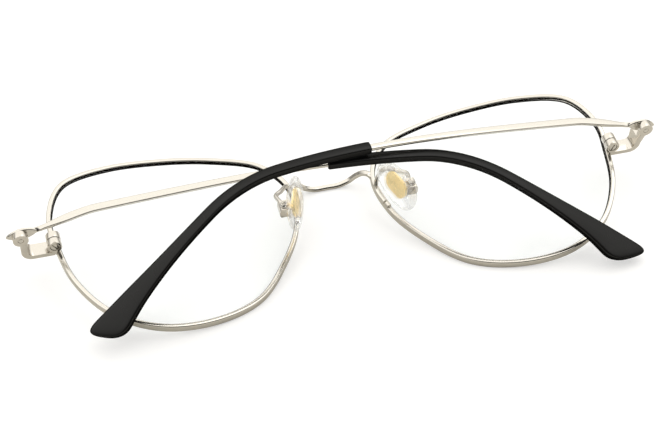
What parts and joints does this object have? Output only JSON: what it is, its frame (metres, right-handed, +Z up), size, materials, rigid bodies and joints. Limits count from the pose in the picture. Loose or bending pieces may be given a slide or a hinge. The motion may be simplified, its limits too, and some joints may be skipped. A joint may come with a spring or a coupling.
{
  "type": "eyeglasses",
  "caption": "Metal full-rim eyeglasses with rounded lenses, adjustable clear nose pads and black temple tips, folded and lying face down.",
  "frame": {"origin": "centre of the bounding box at the height of the surface that the glasses lie on", "axes": "+X from the left temple hinge to the right one, +Y toward the top of the rims, +Z up away from the table, toward the wearer"},
  "size_m": [0.1431, 0.0524, 0.0252],
  "materials": {
    "silver_metal": "polished warm silver plating",
    "clear_lens": "clear polished lens",
    "black_acetate": "satin black",
    "gold_metal": "gold coloured plate",
    "clear_silicone": "clear soft silicone"
  },
  "bodies": {
    "front": {"rim_left": "silver_metal", "rim_right": "silver_metal", "bridge": "silver_metal", "rim_lock_upper_left": "silver_metal", "rim_lock_upper_right": "silver_metal", "rim_lock_lower_left": "silver_metal", "rim_lock_lower_right": "silver_metal", "rim_lock_screw_left": "silver_metal", "rim_lock_screw_right": "silver_metal", "end_piece_left": "silver_metal", "end_piece_right": "silver_metal", "hinge_screw_left": "silver_metal", "hinge_screw_right": "silver_metal", "pad_arm_left": "silver_metal", "pad_arm_right": "silver_metal", "pad_box_left": "silver_metal", "pad_box_right": "silver_metal", "pad_screw_left": "silver_metal", "pad_screw_right": "silver_metal", "lens_left": "clear_lens", "lens_right": "clear_lens"},
    "temple_left": {"temple_left": "silver_metal", "temple_tip_left": "black_acetate"},
    "temple_right": {"temple_right": "silver_metal", "temple_tip_right": "black_acetate"},
    "nose_pad_left": {"pad_insert_left": "gold_metal", "nose_pad_left": "clear_silicone"},
    "nose_pad_right": {"pad_insert_right": "gold_metal", "nose_pad_right": "clear_silicone"}
  },
  "joints": [
    {"name": "temple_fold_right", "type": "hinge", "parent": "front", "child": "temple_right", "pos_m": [0.06875, 0.00229, 0.01432], "axis": [0, 0.9888, 0.1495], "range_deg": [0, 82]},
    {"name": "temple_fold_left", "type": "hinge", "parent": "front", "child": "temple_left", "pos_m": [-0.06875, 0.00229, 0.01432], "axis": [0, -0.9888, -0.1495], "range_deg": [0, 84]},
    {"name": "pad_rock_right", "type": "hinge", "parent": "front", "child": "nose_pad_right", "pos_m": [0.01402, -0.00118, 0.01162], "axis": [0, -0.1495, 0.9888], "range_deg": [-6, 6]},
    {"name": "pad_rock_left", "type": "hinge", "parent": "front", "child": "nose_pad_left", "pos_m": [-0.01402, -0.00118, 0.01162], "axis": [0, -0.1495, 0.9888], "range_deg": [-6, 6]}
  ]
}
